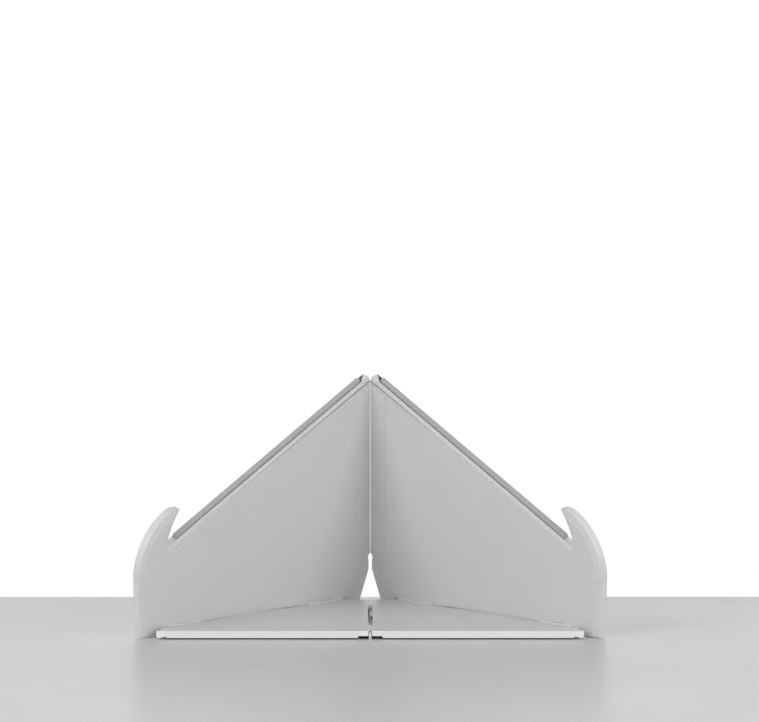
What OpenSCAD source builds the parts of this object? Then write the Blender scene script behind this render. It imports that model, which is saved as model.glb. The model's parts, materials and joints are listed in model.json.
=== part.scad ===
// Folding laptop riser: two hooked side panels that meet at a leaning spine, and a base of two leaves.
// The two base creases, the spine and the base's centre line all aim at one apex at the rear, so the
// riser folds flat like a sheet of paper. Millimetres, +Z up, front towards -Y.

/* [Stance] */
// Angle from the centre line to each base crease, seen from above
crease_angle = 29.9; // [27:0.1:33]
// Lean of each side panel from upright, in over the base
panel_lean = 18.2; // [15:0.1:21]
// Distance of the apex behind the origin
apex_y = 141.15; // [125:0.05:155]

/* [Side panels] */
// Thickness of a side panel
panel_t = 6; // [5:0.25:9]
// Height of the panels' undersides above the desk, filled by the foot strips
foot_t = 1; // [1:0.1:2]
// Distance along the crease from the apex to the panel's rear edge
rear_edge = 13.6; // [11:0.2:16]
// Distance from the front corner back to the centre of the hook's outer arc, along the crease
hook_back = 13.59; // [8:0.01:20]
// Height of the centre of the hook's curve, up the panel from the crease
hook_v = 49.2; // [46:0.2:56]
// Outer radius of the hook
hook_r = 33; // [30:0.5:36]
// Height of the hook's blunt tip above the centre of its curve
tip_rise = 31.2; // [29:0.1:31.8]
// Forward lean of the straight front edge, from square to the crease
front_lean = 28; // [22:0.5:32]
// Radius of the throat inside the hook
throat_r = 38; // [36:0.5:40]
// Distance of the throat's centre behind the hook's centre
throat_back = 28.6; // [27:0.1:30]
// Distance of the throat's centre above the hook's centre
throat_rise = 13.8; // [12:0.1:16]
// Fillet radius at the bottom of the throat
throat_fillet = 1.8; // [1:0.1:2.5]
// Height of the top edge's line above the centre of the hook's curve
rest_rise = 9.8; // [8:0.1:12]
// Slope of the top edge, falling to the hook
rest_slope = 29.6; // [28:0.1:31]
// Width of the bevel on the inner face beside the front edge
front_bevel = 5; // [3:0.1:6]
// Width of the bevel on the inner face inside the throat
throat_bevel = 4; // [2:0.1:5]
// Width of the bevel on the inner face beside the top edge
rest_bevel = 2.7; // [2:0.1:4]
// Depth of the bevels
bevel_depth = 1.2; // [0.6:0.1:1.5]

/* [Spine] */
// Gap between the two panels at the seam
seam_gap = 0.3; // [0.2:0.05:0.8]
// Distance from the seam back to the flat that blunts the rear ridge
ridge_depth = 5; // [3:0.25:7]
// Distance from the apex up the spine to the relief hole
relief_s = 35; // [32:0.5:45]
// Radius of the relief hole
relief_r = 2.4; // [2:0.1:3.5]
// Half width of the neck slot between the relief hole and the spire opening
neck_w = 1.7; // [1:0.1:2]
// Width of each half of the flexible spine web
web_w = 17.6; // [12:0.2:22]
// Thickness of the spine web
web_t = 0.8; // [0.5:0.1:1.2]
// Margin from the spine web's ends to the relief hole and to the top edge
web_margin = 5; // [4:0.5:12]

/* [Base leaves] */
// Thickness of a base leaf
leaf_t = 4.4; // [4:0.1:6]
// Distance from the apex to the base's front edge
base_depth = 250; // [235:1:265]
// Distance from the apex to the base's rear edge on the centre line
base_rear = 35; // [34:0.5:40]
// Gap between a leaf's side edge and the side panel
side_gap = 0.25; // [0.2:0.05:0.5]
// Distance from the apex to the first point of the folding crease
crease_start = 36.5; // [35:0.5:40]
// Length of crease taken off at a leaf's front corner, where the corner plug is
corner_run = 28.39; // [24:0.01:34]
// Distance from the crease to a leaf's front corner, along the front edge
corner_inset = 15.86; // [14:0.01:20]
// Radius of the round relief hole at the start of each crease
crease_hole_r = 1.6; // [1:0.1:2]

/* [Crease hinges] */
// Length of the rear hinge
rear_hinge_l = 44; // [36:1:54]
// Length of the front hinge
front_hinge_l = 38; // [30:1:48]
// Gap from the crease's relief hole's centre to the rear hinge
rear_hinge_gap = 5.5; // [4:0.1:8]
// Gap from the front hinge to the corner plug
front_hinge_gap = 1; // [0.6:0.1:3]
// Gap from each hinge to the see-through slit between them
slit_gap = 2.2; // [1.5:0.1:5]
// Height of the slit above the crease, at its middle
slit_rise = 0.9; // [0.5:0.1:1.5]
// Depth of the slit below the crease, at its middle
slit_drop = 2.6; // [1.5:0.1:3]
// Depth of the notch in the leaf's edge beside the slit
slit_notch = 1; // [0.5:0.1:2]
// Gap from each face to the crease axis, which keeps the folded faces apart
crease_offset = 0.15; // [0.1:0.05:0.3]
// Radius of a crease hinge knuckle
knuckle_r = 0.9; // [0.8:0.05:1.2]
// Radius of a crease hinge pin
pin_r = 0.5; // [0.4:0.05:0.6]
// Radial clearance of a pin in its knuckle
pin_clear = 0.05; // [0.02:0.01:0.1]
// Radial clearance round a knuckle in the other piece's groove
groove_clear = 0.25; // [0.2:0.05:0.4]
// Gap between the ends of neighbouring knuckles
knuckle_gap = 0.4; // [0.2:0.05:1]

/* [Centre hinge] */
// Gap from the leaves' undersides down to the centre hinge axis
centre_offset = 0.05; // [0.05:0.01:0.1]
// Radius of a centre hinge knuckle
centre_knuckle_r = 0.9; // [0.8:0.05:0.95]
// Half width of the slot over the centre hinge
slot_half = 1.5; // [1.3:0.05:2]
// Distance from the apex to the rear end of the slot
slot_rear = 72.3; // [60:0.5:80]
// Distance from the base's front edge to the front end of the slot
slot_margin = 37.5; // [25:0.5:50]
// Length of the front knuckle, fixed to the left leaf
front_knuckle_l = 46; // [30:0.5:60]
// Length of the rear knuckle, fixed to the right leaf
rear_knuckle_l = 43; // [30:0.5:60]
// Gap between the two leaves' meeting edges
leaf_gap = 0.2; // [0.1:0.05:0.5]

/* [Small parts] */
// Width of a front lug, from the slit beside the key to its outer end
lug_w = 6.6; // [5:0.1:9]
// Depth of a front lug, back from the front edge
lug_d = 8; // [6:0.5:12]
// Height of a front lug
lug_h = 3.4; // [2.5:0.1:3.6]
// Height of a front lug above the leaf's top
lug_proud = 0.2; // [0:0.1:0.5]
// Half width of the gap between the two front lugs
key_gap = 1.1; // [1:0.05:1.4]
// Half width of the key between the two front lugs
key_half = 0.65; // [0.4:0.05:0.75]
// Gap behind the key, in the notch between the leaves
key_back = 1; // [0.6:0.1:2]
// Height of the key's top above the centre hinge axis
key_h = 3.2; // [2.5:0.1:4]
// Width of a corner plug's front face
plug_w = 6.1; // [5:0.1:7]
// Depth of a corner plug's block
plug_d = 4; // [3:0.1:6]
// Rise of a corner plug's underside from its outer to its inner edge
plug_rise = 1; // [0.5:0.1:1.5]
// Chamfer at a corner plug's lower outer corner
plug_chamfer = 1.2; // [0.5:0.1:2]
// Step in from a corner plug's outer side to its tail
tail_inset = 1.6; // [0.5:0.1:2.5]
// Distance from the tail's blunt end to the end of the leaf's crease edge
tail_end = 4; // [2:0.5:8]
// Width of the foot strip under a side panel
foot_w = 4; // [3:0.1:5]
// Depth to which the strips and pads are let into the panels
inlay_depth = 1; // [0.8:0.1:1.5]
// Distance from the apex to a foot strip's rear end, along the crease
foot_start = 40; // [30:1:60]
// Length of a foot strip
foot_l = 210; // [150:1:215]
// Width of the grip strip on a top edge
grip_w = 3.2; // [2.5:0.1:4]
// Height of the grip strip above the top edge
grip_h = 2.4; // [1.5:0.1:3]
// Margin from the grip strip's ends to the throat and to the seam
grip_margin = 9; // [6:0.5:20]
// Width of the hand pad let into a front edge
pad_w = 4; // [3:0.1:4.2]
// Height of the hand pad above the front edge's face
pad_proud = 0.25; // [0:0.05:0.5]
// Height of the hand pad's lower end above the crease, up the panel
pad_low = 4.6; // [3:0.1:8]
// Length of the hand pad
pad_l = 30.4; // [20:0.1:30.5]

/* [Hidden] */
$fn = 96;

// Reach of the cutters past the faces that they cut
over = 10;
// Reach of a bevel's cutter past the panel's edge
bevel_reach = 2;
// Reach of the fillet's arc past the two edges that it joins, so that it crosses both
fillet_lap = 0.02;
// Turn by which the fillet's bevel passes each end of the fillet
fillet_turn = 15;
// Turns that carry the hook's two bevels past its tip
hook_turn = 82;
throat_turn = 60;
// Reach of the cutters that pass the whole stand
far = 400;
// Gap from a crease pin's ends to the ends of its hinge, and from the centre pin to the front edge
pin_end_gap = 0.2;
centre_pin_gap = 0.5;
leaf_low = foot_t;
leaf_top = foot_t + leaf_t;
centre_axis_z = leaf_low - centre_offset;
bore_r = pin_r + pin_clear;
groove_r = knuckle_r + groove_clear;

// The spine lies in the panel's plane at this angle from the crease, and leans forward by spine_lean
spine_angle = atan(tan(crease_angle) / sin(panel_lean));
spine_run = cos(crease_angle) * cos(spine_angle) + sin(crease_angle) * sin(panel_lean) * sin(spine_angle);
spine_lean = atan(spine_run / (cos(panel_lean) * sin(spine_angle)));
up_spine = [cos(spine_angle), sin(spine_angle)];
off_spine = [sin(spine_angle), -cos(spine_angle)];

// The panel's outline, in its own plane: u runs along the crease from the apex, v runs up the panel
hook_u = base_depth / cos(crease_angle) - hook_back;
hook_c = [hook_u, hook_v];
throat_c = hook_c + [-throat_back, throat_rise];
along_rest = [cos(rest_slope), -sin(rest_slope)];
above_rest = [sin(rest_slope), cos(rest_slope)];
rest_point = hook_c + [0, rest_rise];
rest_level = rest_point * above_rest;
spine_len = rest_level / (up_spine * above_rest);
spine_top = spine_len * up_spine;
low_v = -leaf_top - panel_t;
front_tangent = hook_c + hook_r * [cos(front_lean), -sin(front_lean)];
front_low = front_tangent - (front_tangent[1] - low_v) * [tan(front_lean), 1];
tip_v = hook_v + tip_rise;

// The fillet's centre touches the top edge's line and the throat's circle from inside
fillet_start = rest_point + throat_fillet * above_rest;
fillet_back = (throat_c - fillet_start) * along_rest;
fillet_side = (throat_c - fillet_start) * above_rest;
fillet_c = fillet_start + along_rest *
    (fillet_back + sqrt(pow(throat_r - throat_fillet, 2) - pow(fillet_side, 2)));
throat_out = (fillet_c - throat_c) / norm(fillet_c - throat_c);

// Stations along the crease, measured from the apex, and the leaf's front corner
crease_end = base_depth / cos(crease_angle) - corner_run;
rear_hinge = [crease_start + rear_hinge_gap, crease_start + rear_hinge_gap + rear_hinge_l];
front_hinge = [crease_end - front_hinge_gap - front_hinge_l, crease_end - front_hinge_gap];
slit = [rear_hinge[1] + slit_gap, front_hinge[0] - slit_gap];
leaf_corner_x = base_depth * tan(crease_angle) - corner_inset;
slot_front = base_depth - slot_margin;

// The crease axis in the panel's own frame: height up the panel, and depth in front of its inner face
axis_v = crease_offset * (1 + sin(panel_lean)) / cos(panel_lean);
crease_dir = [-sin(crease_angle), -cos(crease_angle)];
crease_in = [cos(crease_angle), -sin(crease_angle)];

// Moves a shape drawn in the left panel's plane, inner face at z = 0, to where the panel stands
module panel_plane() {
    translate([0, apex_y, leaf_top])
        rotate([90 - panel_lean, 0, 270 - crease_angle])
            children();
}

// Moves a shape drawn along the left crease, x along it and y inwards, with z as a height above the desk
module crease_frame() {
    translate([0, apex_y, 0])
        rotate([0, 0, 270 - crease_angle])
            children();
}

// Places a shape drawn in spine directions, x away from the spine and y up it, in the panel's plane
module spine_frame() {
    rotate(spine_angle - 90)
        children();
}

module right_side() {
    mirror([1, 0, 0])
        children();
}

module upright_box(x0, x1, y0, y1, z0, z1) {
    translate([x0, y0, z0])
        cube([x1 - x0, y1 - y0, z1 - z0]);
}

// ---- Side panels ----

// The open space above the top edge: a straight line that turns up into the throat's arc
module space_above_rest() {
    line_end = fillet_c - throat_fillet * above_rest;
    into_throat = [-throat_out[1], throat_out[0]];
    polygon([line_end, line_end - 2 * hook_u * along_rest,
        line_end - 2 * hook_u * along_rest + hook_u * above_rest,
        throat_c + hook_u * above_rest, throat_c + throat_r / 2 * above_rest,
        fillet_c + throat_fillet / 2 * into_throat]);
    intersection() {
        translate(throat_c)
            circle(r = throat_r);
        polygon([fillet_c, throat_c + 2 * throat_r * throat_out,
            throat_c + 2 * throat_r * (throat_out + above_rest),
            fillet_c + 2 * throat_r * (above_rest - along_rest),
            fillet_c - 2 * throat_r * along_rest]);
    }
    translate(fillet_c)
        circle(r = throat_fillet + fillet_lap);
}

module panel_outline() {
    difference() {
        union() {
            polygon([[rear_edge, low_v], front_low, front_tangent, hook_c, rest_point + over * above_rest,
                spine_top + over * up_spine + over * above_rest, [rear_edge, rear_edge * tan(spine_angle)]]);
            translate(hook_c)
                circle(r = hook_r);
        }
        translate([throat_c[0], tip_v])
            square([4 * hook_r, 2 * hook_r]);
        space_above_rest();
        spine_frame()
            translate([-2 * over, -over])
                square([2 * over + neck_w, over + relief_s]);
        translate(relief_s * up_spine)
            circle(r = relief_r);
    }
}

// Cross-section of a bevel: x is the distance in from the edge, y the depth from the inner face
module bevel_section(width, reach) {
    polygon([[-reach, -1], [-reach, bevel_depth * (1 + reach / width)],
        [width * (1 + 1 / bevel_depth), -1]]);
}

// A bevel along a straight edge that runs from one point in a direction, with the panel on its left
module straight_bevel(from, angle, length, width) {
    translate([from[0], from[1], 0])
        rotate([0, 0, angle])
            rotate([90, 0, 90])
                linear_extrude(length)
                    bevel_section(width, bevel_reach);
}

// A bevel round an arc: side is -1 where the panel lies inside the arc and 1 where it lies outside
module arc_bevel(centre, radius, start, sweep, width, side) {
    translate([centre[0], centre[1], 0])
        rotate([0, 0, start])
            rotate_extrude(angle = sweep)
                translate([radius, 0])
                    scale([side, 1])
                        bevel_section(width, min(bevel_reach, radius / 2));
}

// Neighbouring bevels pass each other by a little, so that their cuts cross and leave nothing between
module panel_bevels() {
    front_l = norm(front_tangent - front_low) + bevel_reach;
    throat_from = atan2(throat_out[1], throat_out[0]);
    straight_bevel(front_low, 90 - front_lean, front_l, front_bevel);
    arc_bevel(hook_c, hook_r - fillet_lap, -front_lean, front_lean + hook_turn, front_bevel, -1);
    arc_bevel(throat_c, throat_r + fillet_lap, throat_from, throat_turn, throat_bevel, 1);
    translate([spine_top[0], spine_top[1], 0])
        rotate([0, 0, -rest_slope])
            mirror([0, 1, 0])
                rotate([90, 0, 90])
                    linear_extrude((fillet_c - spine_top) * along_rest)
                        bevel_section(rest_bevel, bevel_reach);
    arc_bevel(fillet_c, throat_fillet + fillet_lap, -90 - rest_slope - fillet_turn,
        90 + rest_slope + throat_from + 2 * fillet_turn, rest_bevel, 1);
}

// The slit's half: bowed edge over a straight crease, rise at the middle of the slit
module slit_bow(rise) {
    half = (slit[1] - slit[0]) / 2;
    steps = 24;
    polygon([for (i = [0 : steps])
        [slit[0] + 2 * half * i / steps, rise * (1 - pow(2 * i / steps - 1, 2))]]);
}

module crease_cylinder(span, r) {
    translate([span[0], axis_v, -crease_offset])
        rotate([0, 90, 0])
            cylinder(h = span[1] - span[0], r = r);
}

// The middle third of each hinge is the leaf's knuckle, and the outer thirds are the panel's
function leaf_part(hinge) = [hinge[0] + (hinge[1] - hinge[0]) / 3, hinge[1] - (hinge[1] - hinge[0]) / 3];
function grown(span, by) = [span[0] - by, span[1] + by];

module hinge_knuckle(span) {
    difference() {
        crease_cylinder(span, knuckle_r);
        crease_cylinder(grown(span, 1), bore_r);
    }
}

module outer_knuckles(hinge) {
    mid = grown(leaf_part(hinge), knuckle_gap / 2);
    color("white")
        panel_plane() {
            hinge_knuckle([hinge[0], mid[0]]);
            hinge_knuckle([mid[1], hinge[1]]);
        }
}

module inner_knuckle(hinge) {
    color("white")
        panel_plane()
            hinge_knuckle(leaf_part(hinge));
}

module web_shape(depth) {
    translate([0, 0, -over])
        linear_extrude(over + depth)
            spine_frame()
                translate([-over, relief_s + relief_r + web_margin])
                    square([over + web_w, spine_len - relief_s - relief_r - 2 * web_margin]);
}

module grip_shape(height) {
    length = (fillet_c - spine_top) * along_rest - 2 * grip_margin;
    translate([spine_top[0], spine_top[1], (panel_t + bevel_depth - grip_w) / 2])
        rotate([0, 0, -rest_slope])
            translate([grip_margin, -inlay_depth, 0])
                cube([length, inlay_depth + height, grip_w]);
}

module pad_shape(height) {
    start = front_tangent - (front_tangent[1] - pad_low) * [tan(front_lean), 1];
    translate([start[0], start[1], (panel_t + bevel_depth - pad_w) / 2])
        rotate([0, 0, -front_lean])
            translate([-inlay_depth, 0, 0])
                cube([inlay_depth + height, pad_l, pad_w]);
}

module foot_shape(top) {
    under = (leaf_top - foot_t) * tan(panel_lean);
    across = panel_t / cos(panel_lean);
    crease_frame()
        upright_box(foot_start, foot_start + foot_l, -under - (across + foot_w) / 2,
            -under - (across - foot_w) / 2, 0, top);
}

module seam_cut() {
    upright_box(-seam_gap / 2, far, -far, far, -far, far);
}

module side_panel() {
    color("whitesmoke")
        difference() {
            panel_plane()
                difference() {
                    linear_extrude(panel_t)
                        panel_outline();
                    panel_bevels();
                    web_shape(web_t);
                    grip_shape(over);
                    pad_shape(over);
                    translate([0, 0, -1])
                        linear_extrude(panel_t + 2) {
                            slit_bow(slit_rise);
                            slit_bow(-slit_drop);
                        }
                    translate([crease_start, 0, -1])
                        cylinder(h = panel_t + 2, r = crease_hole_r);
                    for (hinge = [rear_hinge, front_hinge]) {
                        crease_cylinder(hinge, knuckle_r);
                        crease_cylinder(grown(leaf_part(hinge), knuckle_gap / 2), groove_r);
                    }
                }
            upright_box(-far, far, -far, far, -far, foot_t);
            seam_cut();
            translate([0, apex_y, leaf_top])
                rotate([spine_lean, 0, 0])
                    upright_box(-far, far, ridge_depth, far, -far, far);
            foot_shape(foot_t + inlay_depth);
        }
}

module spine_web() {
    color("gainsboro")
        difference() {
            panel_plane()
                intersection() {
                    web_shape(web_t);
                    linear_extrude(web_t)
                        panel_outline();
                }
            seam_cut();
        }
}

module grip_strip() {
    color("silver")
        panel_plane()
            grip_shape(grip_h);
}

module hand_pad() {
    color("white")
        panel_plane()
            pad_shape(pad_proud);
}

module foot_strip() {
    color("dimgray")
        foot_shape(foot_t + inlay_depth);
}

module crease_pin(hinge) {
    color("silver")
        panel_plane()
            crease_cylinder(grown(hinge, -pin_end_gap), pin_r);
}

// ---- Base leaves ----

function crease_point(u) = u * crease_dir;
function leaf_side(u) = crease_point(u) + side_gap * crease_in;

module leaf_outline() {
    polygon([[-leaf_gap / 2, -base_rear], leaf_side(crease_start), leaf_side(crease_end),
        [-leaf_corner_x, -base_depth], [-leaf_gap / 2, -base_depth]]);
}

module base_leaf() {
    hinges = [rear_hinge, front_hinge];
    color("whitesmoke")
        difference() {
            translate([0, apex_y, leaf_low])
                linear_extrude(leaf_t)
                    difference() {
                        leaf_outline();
                        translate([-slot_half, -slot_front])
                            square([2 * slot_half, slot_front - slot_rear]);
                        translate([-key_gap - lug_w, -base_depth - 1])
                            square([over + lug_w, lug_d + 1]);
                        translate(crease_point(crease_start))
                            circle(r = crease_hole_r);
                        rotate(270 - crease_angle)
                            translate([0, side_gap])
                                scale([1, slit_notch])
                                    slit_bow(1);
                    }
            panel_plane()
                for (hinge = hinges) {
                    part = leaf_part(hinge);
                    crease_cylinder(part, knuckle_r);
                    crease_cylinder([hinge[0] - knuckle_gap / 2, part[0]], groove_r);
                    crease_cylinder([part[1], hinge[1] + knuckle_gap / 2], groove_r);
                }
            translate([0, apex_y, centre_axis_z])
                rotate([90, 0, 0])
                    cylinder(h = base_depth + 1, r = pin_r + groove_clear);
        }
}

// Fills the corner between a leaf and its side panel: a block with a tail that follows the crease
module corner_plug() {
    front = -base_depth;
    outer = -leaf_corner_x - plug_w;
    color("white")
        translate([0, apex_y, 0])
            difference() {
                union() {
                    translate([0, front + plug_d, 0])
                        rotate([90, 0, 0])
                            linear_extrude(plug_d)
                                polygon([[outer, leaf_top], [outer, leaf_low + plug_rise],
                                    [outer + plug_chamfer, leaf_low], [-leaf_corner_x, leaf_low + plug_rise],
                                    [-leaf_corner_x, leaf_top]]);
                    translate([0, 0, leaf_low + plug_rise])
                        linear_extrude(leaf_t - plug_rise)
                            polygon([[outer + tail_inset, front + plug_d],
                                leaf_side(crease_end + tail_end), leaf_side(crease_end),
                                [-leaf_corner_x + tail_inset, front + plug_d]]);
                }
                translate([0, 0, leaf_low - 1])
                    linear_extrude(leaf_t + 2)
                        leaf_outline();
            }
}

module front_lug() {
    color("white")
        translate([0, apex_y - base_depth, leaf_top + lug_proud - lug_h])
            upright_box(-key_gap - lug_w, -key_gap, 0, lug_d, 0, lug_h);
}

// ---- Centre hinge ----

module centre_cylinder(from, to, r) {
    translate([0, apex_y - from, centre_axis_z])
        rotate([90, 0, 0])
            cylinder(h = to - from, r = r);
}

module centre_knuckle(from, to) {
    difference() {
        union() {
            centre_cylinder(from, to, centre_knuckle_r);
            upright_box(-slot_half, 0, apex_y - to, apex_y - from,
                leaf_low, leaf_low + centre_knuckle_r - centre_offset);
        }
        centre_cylinder(from - 1, to + 1, bore_r);
    }
}

module front_centre_knuckle() {
    color("white")
        centre_knuckle(slot_front - knuckle_gap - front_knuckle_l, slot_front - knuckle_gap);
}

module rear_centre_knuckle() {
    color("white")
        right_side()
            centre_knuckle(slot_rear + knuckle_gap, slot_rear + knuckle_gap + rear_knuckle_l);
}

module centre_hinge_pin() {
    color("silver")
        centre_cylinder(slot_rear + 2 * knuckle_gap, base_depth - centre_pin_gap, pin_r);
}

module front_key() {
    color("white")
        difference() {
            union() {
                centre_cylinder(base_depth - lug_d + key_back, base_depth, centre_knuckle_r);
                upright_box(-key_half, key_half, apex_y - base_depth, apex_y - base_depth + lug_d - key_back,
                    centre_axis_z, centre_axis_z + key_h);
            }
            centre_cylinder(base_depth - lug_d, base_depth + 1, bore_r);
        }
}

side_panel();  // left_panel
right_side() side_panel();  // right_panel
base_leaf();  // left_base_leaf
right_side() base_leaf();  // right_base_leaf
crease_pin(rear_hinge);  // left_rear_crease_pin
crease_pin(front_hinge);  // left_front_crease_pin
right_side() crease_pin(rear_hinge);  // right_rear_crease_pin
right_side() crease_pin(front_hinge);  // right_front_crease_pin
outer_knuckles(rear_hinge);  // left_rear_panel_knuckles
outer_knuckles(front_hinge);  // left_front_panel_knuckles
right_side() outer_knuckles(rear_hinge);  // right_rear_panel_knuckles
right_side() outer_knuckles(front_hinge);  // right_front_panel_knuckles
inner_knuckle(rear_hinge);  // left_rear_leaf_knuckle
inner_knuckle(front_hinge);  // left_front_leaf_knuckle
right_side() inner_knuckle(rear_hinge);  // right_rear_leaf_knuckle
right_side() inner_knuckle(front_hinge);  // right_front_leaf_knuckle
centre_hinge_pin();
front_centre_knuckle();
rear_centre_knuckle();
front_key();
front_lug();  // left_front_lug
right_side() front_lug();  // right_front_lug
corner_plug();  // left_corner_plug
right_side() corner_plug();  // right_corner_plug
spine_web();  // left_spine_web
right_side() spine_web();  // right_spine_web
grip_strip();  // left_grip_strip
right_side() grip_strip();  // right_grip_strip
hand_pad();  // left_hand_pad
right_side() hand_pad();  // right_hand_pad
foot_strip();  // left_foot_strip
right_side() foot_strip();  // right_foot_strip
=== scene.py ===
"""Looks of the folding laptop riser: satin white plastic, soft studio light, the desk-height view."""

import json
import math

import bmesh
import bpy
from mathutils import Euler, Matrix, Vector


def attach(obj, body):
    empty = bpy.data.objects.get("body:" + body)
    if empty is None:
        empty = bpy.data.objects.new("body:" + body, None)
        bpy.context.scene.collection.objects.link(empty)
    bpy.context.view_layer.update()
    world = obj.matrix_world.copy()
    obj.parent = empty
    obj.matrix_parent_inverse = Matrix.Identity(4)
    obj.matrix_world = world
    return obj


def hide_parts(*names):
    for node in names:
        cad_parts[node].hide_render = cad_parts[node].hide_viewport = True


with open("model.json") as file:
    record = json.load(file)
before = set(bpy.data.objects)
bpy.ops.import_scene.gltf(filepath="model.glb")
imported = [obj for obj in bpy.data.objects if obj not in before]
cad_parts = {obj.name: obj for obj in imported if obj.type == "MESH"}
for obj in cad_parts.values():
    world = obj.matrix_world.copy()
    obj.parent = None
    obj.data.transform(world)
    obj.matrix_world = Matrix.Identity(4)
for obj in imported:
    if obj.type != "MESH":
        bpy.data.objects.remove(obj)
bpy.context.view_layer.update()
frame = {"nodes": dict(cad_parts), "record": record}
nodes = frame["nodes"]
scene = bpy.context.scene
MM = 0.001
WELD = 2e-7
FLAT_TURN = math.radians(0.4)

# ---- Materials ----


class Look:
    """A procedural material under construction."""

    def __init__(self, name, color, rough, **sockets):
        self.mat = bpy.data.materials.new(name)
        self.mat.use_nodes = True
        self.tree = self.mat.node_tree
        self.bsdf = self.tree.nodes["Principled BSDF"]
        self.bsdf.inputs["Base Color"].default_value = (*color, 1)
        self.bsdf.inputs["Roughness"].default_value = rough
        for socket, value in sockets.items():
            self.bsdf.inputs[socket.replace("_", " ")].default_value = value
        self.coords = self.add("ShaderNodeTexCoord").outputs["Object"]

    def add(self, kind, **settings):
        node = self.tree.nodes.new(kind)
        for key, value in settings.items():
            setattr(node, key, value)
        return node

    def link(self, out, into):
        self.tree.links.new(out, into)
        return into

    def feed(self, node, **inputs):
        for key, value in inputs.items():
            socket = node.inputs[key.replace("_", " ")]
            if hasattr(value, "is_output"):
                self.link(value, socket)
            else:
                socket.default_value = value
        return node

    def math(self, operation, a, b=0.0, clamp=False):
        node = self.add("ShaderNodeMath", operation=operation, use_clamp=clamp)
        for socket, value in zip(node.inputs, (a, b)):
            if hasattr(value, "is_output"):
                self.link(value, socket)
            else:
                socket.default_value = value
        return node.outputs[0]

    def stretched(self, scale, turn=(0, 0, 0)):
        node = self.add("ShaderNodeMapping")
        self.link(self.coords, node.inputs["Vector"])
        node.inputs["Rotation"].default_value = turn
        node.inputs["Scale"].default_value = scale
        return node.outputs[0]

    def noise(self, scale, detail=2.0, vector=None, rough=0.5):
        node = self.add("ShaderNodeTexNoise")
        self.feed(node, Vector=vector or self.coords, Scale=scale, Detail=detail, Roughness=rough)
        return node.outputs["Fac"]

    def cells(self, scale, vector=None):
        node = self.add("ShaderNodeTexVoronoi")
        self.feed(node, Vector=vector or self.coords, Scale=scale)
        return node.outputs["Distance"]

    def remap(self, value, low, high, to_low, to_high):
        node = self.add("ShaderNodeMapRange")
        self.link(value, node.inputs["Value"])
        for key, number in (("From Min", low), ("From Max", high), ("To Min", to_low), ("To Max", to_high)):
            node.inputs[key].default_value = number
        return node.outputs["Result"]

    def blend(self, factor, dark, light):
        """Mixes two colours by a factor that varies over the surface."""
        node = self.add("ShaderNodeMix", data_type="RGBA")
        self.link(factor, node.inputs[0])
        for socket, value in ((node.inputs[6], dark), (node.inputs[7], light)):
            if hasattr(value, "is_output"):
                self.link(value, socket)
            else:
                socket.default_value = (*value, 1)
        return node.outputs[2]

    def paint(self, color):
        self.link(color, self.bsdf.inputs["Base Color"])

    def roughen(self, value):
        self.link(value, self.bsdf.inputs["Roughness"])

    def bump(self, height, distance, strength=1.0, normal=None):
        node = self.add("ShaderNodeBump")
        self.link(height, node.inputs["Height"])
        node.inputs["Distance"].default_value = distance
        node.inputs["Strength"].default_value = strength
        if normal:
            self.link(normal, node.inputs["Normal"])
        self.link(node.outputs[0], self.bsdf.inputs["Normal"])
        return node.outputs[0]


def tint(color, by):
    return tuple(c * by for c in color)


def moulded(name, color, rough, grain, depth, variation=0.02):
    """Moulded plastic: eroded grain, slow flow shading, faint rub marks and a few hairline scratches."""
    look = Look(name, color, rough, IOR=1.5)
    flow = look.noise(7, 3, look.stretched((1, 0.6, 1.4)))
    cloud = look.noise(38, 4)
    tone = look.math("ADD", look.math("MULTIPLY", flow, 0.65), look.math("MULTIPLY", cloud, 0.35))
    light_share = look.remap(tone, 0.35, 0.65, 0, 1)
    body = look.blend(light_share, tint(color, 1 - variation), tint(color, 1 + variation / 2))
    hair = look.noise(55, 2, look.stretched((1, 26, 4), (0.3, 0.5, 0.9)))
    scratch = look.remap(hair, 0.735, 0.76, 0, 1)
    dust = look.remap(look.noise(420, 2), 0.7, 0.78, 0, 1)
    marks = look.math("MAXIMUM", look.math("MULTIPLY", scratch, 0.35), look.math("MULTIPLY", dust, 0.12))
    look.paint(look.blend(marks, body, tint(color, 0.86)))
    rub = look.remap(look.noise(16, 5, rough=0.65), 0.4, 0.68, 0, 1)
    low = look.math("SUBTRACT", rough, look.math("MULTIPLY", rub, rough * 0.22))
    look.roughen(look.math("ADD", low, look.math("MULTIPLY", scratch, 0.1), clamp=True))
    pits = look.cells(grain)
    fine = look.noise(grain * 1.7, 2)
    height = look.math("ADD", look.math("MULTIPLY", pits, 0.6), look.math("MULTIPLY", fine, 0.5))
    wave = look.bump(look.noise(24, 2), 0.00035, 0.35)
    look.bump(height, depth, 0.8, wave)
    return look.mat


def hinge_film(name, color, rough):
    """Flexible film over the spine: fine ribs up the spine and a softer sheen."""
    look = Look(name, color, rough, IOR=1.48)
    tone = look.noise(30, 4)
    look.paint(look.blend(look.remap(tone, 0.35, 0.65, 0, 1), tint(color, 0.97), tint(color, 1.01)))
    ribs = look.add("ShaderNodeTexWave", wave_type="BANDS", bands_direction="X")
    look.feed(ribs, Vector=look.coords, Scale=420, Distortion=0.4, Detail=1)
    look.roughen(look.remap(look.noise(60, 3), 0.3, 0.7, rough - 0.05, rough + 0.07))
    wave = look.bump(ribs.outputs["Fac"], 0.00003, 0.7)
    look.bump(look.noise(2600, 2), 0.00001, 0.7, wave)
    return look.mat


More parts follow.
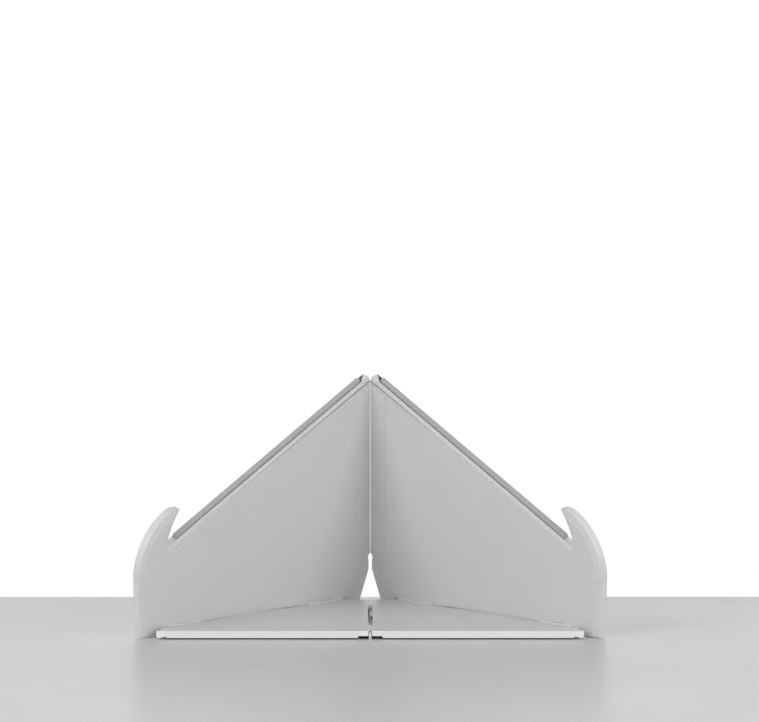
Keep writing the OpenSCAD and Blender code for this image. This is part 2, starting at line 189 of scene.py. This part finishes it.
def rubber(name, color, rough, pitch):
    """Matt rubber with a fine diamond knurl, dusty on its high spots."""
    look = Look(name, color, rough, IOR=1.42)
    knurl = []
    for turn in (0.9, -0.9):
        wave = look.add("ShaderNodeTexWave", wave_type="BANDS", bands_direction="Y")
        look.feed(wave, Vector=look.stretched((1, 1, 1), (0, 0, turn)), Scale=pitch, Distortion=0, Detail=0)
        knurl.append(wave.outputs["Fac"])
    height = look.math("MULTIPLY", *knurl)
    dust = look.remap(look.noise(180, 5), 0.42, 0.7, 0, 0.5)
    dusty = look.math("MULTIPLY", dust, height)
    look.paint(look.blend(dusty, color, tint(color, 1.35)))
    look.roughen(look.remap(look.noise(90, 3), 0.3, 0.7, rough - 0.08, min(rough + 0.06, 1)))
    look.bump(height, 0.00008, 0.8)
    return look.mat


def drawn_steel(name):
    """Drawn wire: long fine streaks along its length and slight stains."""
    color = (0.56, 0.56, 0.57)
    look = Look(name, color, 0.28, Metallic=1.0)
    streak = look.noise(900, 3, look.stretched((1, 0.02, 1)))
    stain = look.noise(140, 4)
    look.paint(look.blend(look.remap(stain, 0.4, 0.7, 0, 1), color, tint(color, 0.8)))
    look.roughen(look.remap(streak, 0.3, 0.7, 0.2, 0.4))
    look.bump(streak, 0.000008, 0.8)
    return look.mat


WHITE = (0.80, 0.80, 0.80)
LOOKS = {
    "shell_white": moulded("shell_white", WHITE, 0.42, 2600, 0.000022),
    "trim_white": moulded("trim_white", (0.85, 0.85, 0.85), 0.27, 1500, 0.00001, 0.012),
    "hinge_web": hinge_film("hinge_web", (0.80, 0.80, 0.80), 0.5),
    "grip_rubber": rubber("grip_rubber", (0.52, 0.52, 0.53), 0.72, 260),
    "foot_rubber": rubber("foot_rubber", (0.035, 0.035, 0.037), 0.8, 320),
    "pin_steel": drawn_steel("pin_steel"),
}
SLOTS = {row["node"]: row["material_slot"] for row in frame["record"]["subparts"]}
BODIES = {n: body for body, names in frame["record"]["behaviour"]["bodies"].items() for n in names}

# ---- Pieces: each CAD solid again with its edges rounded as a mould leaves them ----


CREASE_ZONE = 9 * MM
PLATE_AREA = 200 * MM * MM
SHARP_TURN = math.radians(8)
EDGE_TURN = math.radians(50)


def outline_edges(bm, plate):
    """The edges that a mould rounds: all of a small piece's, and a plate's outer ones above its hinges."""
    edges = [e for e in bm.edges if len(e.link_faces) == 2 and e.calc_face_angle(0) > EDGE_TURN]
    if not plate:
        return edges
    high = [e for e in edges if min(v.co.z for v in e.verts) > CREASE_ZONE]
    return [e for e in high if max(f.calc_area() for f in e.link_faces) > PLATE_AREA]


def rounded(node, radius, plate, segments=2):
    """A copy of the node's mesh: flat faces joined up, edges rounded and bevels kept crisp."""
    mesh = nodes[node].data.copy()
    mesh.name = node + "_rounded"
    bm = bmesh.new()
    bm.from_mesh(mesh)
    bmesh.ops.remove_doubles(bm, verts=bm.verts, dist=WELD)
    bmesh.ops.dissolve_limit(bm, angle_limit=FLAT_TURN, verts=bm.verts, edges=bm.edges,
                             use_dissolve_boundaries=False)
    bm.normal_update()
    sharp = {e for e in bm.edges if e.calc_face_angle(0) > SHARP_TURN}
    edges = outline_edges(bm, plate)
    for edge in sharp.difference(edges):
        edge.smooth = False
    for face in bm.faces:
        face.smooth = True
    bmesh.ops.bevel(bm, geom=edges, offset=radius, offset_type="OFFSET", segments=segments, profile=0.5,
                    affect="EDGES", clamp_overlap=not plate)
    bm.to_mesh(mesh)
    bm.free()
    mesh.materials.clear()
    mesh.materials.append(LOOKS[SLOTS[node]])
    piece = bpy.data.objects.new(node + "_rounded", mesh)
    scene.collection.objects.link(piece)
    normals = piece.modifiers.new("normals", "WEIGHTED_NORMAL")
    normals.keep_sharp = True
    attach(piece, BODIES[node])
    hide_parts(node)
    return piece


ROUNDING = {
    "panel": 0.45 * MM, "base_leaf": 0.35 * MM, "corner_plug": 0.25 * MM, "front_lug": 0.25 * MM,
    "grip_strip": 0.5 * MM, "hand_pad": 0.12 * MM, "foot_strip": 0.3 * MM, "spine_web": 0.1 * MM,
}
for node in nodes:
    kind = next((k for k in ROUNDING if node.endswith("_" + k)), None)
    if kind:
        rounded(node, ROUNDING[kind], kind in ("panel", "base_leaf"))
    else:
        mesh = nodes[node].data
        mesh.materials.clear()
        mesh.materials.append(LOOKS[SLOTS[node]])

# ---- Stage: pale floor, plain backdrop, soft light ----


def plain_box(name, low, high, material):
    mesh = bpy.data.meshes.new(name)
    bm = bmesh.new()
    bmesh.ops.create_cube(bm, size=1)
    for v in bm.verts:
        v.co = Vector([l + (h - l) * (c + 0.5) for l, h, c in zip(low, high, v.co)])
    bm.to_mesh(mesh)
    bm.free()
    mesh.materials.append(material)
    obj = bpy.data.objects.new(name, mesh)
    scene.collection.objects.link(obj)
    return obj


DESK_BACK = 0.187
DESK_THICKNESS = 0.03
desk = Look("desk_top", (0.82, 0.82, 0.825), 0.3)
desk.roughen(desk.remap(desk.noise(9, 3), 0.3, 0.7, 0.27, 0.34))
plain_box("desk", (-3, -4, -DESK_THICKNESS), (3, DESK_BACK, 0), desk.mat)

world = bpy.data.worlds.new("studio")
scene.world = world
world.use_nodes = True
tree = world.node_tree
back = tree.nodes["Background"]
back.inputs["Color"].default_value = (1, 1, 1, 1)
seen_world = tree.nodes.new("ShaderNodeBackground")
seen_world.inputs["Color"].default_value = (1, 1, 1, 1)
seen_world.inputs["Strength"].default_value = 1.0

# The light of the dome fades from the horizon to overhead, so upright faces are lit more than level ones
HORIZON_LIGHT, ZENITH_LIGHT = 0.70, 0.12
up = tree.nodes.new("ShaderNodeSeparateXYZ")
tree.links.new(tree.nodes.new("ShaderNodeTexCoord").outputs["Generated"], up.inputs[0])
dome = tree.nodes.new("ShaderNodeMapRange")
tree.links.new(up.outputs["Z"], dome.inputs["Value"])
for key, number in (("From Min", 0.0), ("From Max", 0.8),
                    ("To Min", HORIZON_LIGHT), ("To Max", ZENITH_LIGHT)):
    dome.inputs[key].default_value = number
tree.links.new(dome.outputs["Result"], back.inputs["Strength"])

# The camera and reflections see plain white in place of the dome
path = tree.nodes.new("ShaderNodeLightPath")
either = tree.nodes.new("ShaderNodeMath")
either.operation = "MAXIMUM"
tree.links.new(path.outputs["Is Camera Ray"], either.inputs[0])
tree.links.new(path.outputs["Is Glossy Ray"], either.inputs[1])
both = tree.nodes.new("ShaderNodeMixShader")
tree.links.new(either.outputs[0], both.inputs[0])
tree.links.new(back.outputs[0], both.inputs[1])
tree.links.new(seen_world.outputs[0], both.inputs[2])
tree.links.new(both.outputs[0], tree.nodes["World Output"].inputs["Surface"])


def soft_light(name, place, aim, size, watts):
    data = bpy.data.lights.new(name, "AREA")
    data.shape = "RECTANGLE"
    data.size, data.size_y = size
    data.energy = watts
    lamp = bpy.data.objects.new(name, data)
    scene.collection.objects.link(lamp)
    lamp.location = place
    lamp.rotation_euler = (Vector(aim) - Vector(place)).to_track_quat("-Z", "Y").to_euler()


MIDDLE = (0, 0, 0.07)
soft_light("key", (-1.5, -2.3, 1.1), MIDDLE, (1.6, 1.2), 24)
soft_light("fill", (1.5, -2.4, 0.9), MIDDLE, (1.6, 1.2), 22)
soft_light("top", (0.0, 0.5, 2.1), MIDDLE, (1.8, 1.4), 5)

# ---- Camera: view from the front, a little above the desk and turned slightly to the right ----

LENS = 152.5
CAMERA_DISTANCE = 2.1189
CAMERA_HEIGHT = 0.2092
CAMERA_PITCH = math.radians(90 - 0.989)
CAMERA_YAW = math.radians(-0.1657)
camera = bpy.data.objects.new("camera", bpy.data.cameras.new("camera"))
scene.collection.objects.link(camera)
camera.data.sensor_width = 36
camera.data.lens = LENS
camera.location = (0, -CAMERA_DISTANCE, CAMERA_HEIGHT)
camera.rotation_euler = Euler((CAMERA_PITCH, 0, CAMERA_YAW))
camera.data.clip_start, camera.data.clip_end = 0.05, 30
scene.camera = camera
scene.view_settings.view_transform = "Standard"
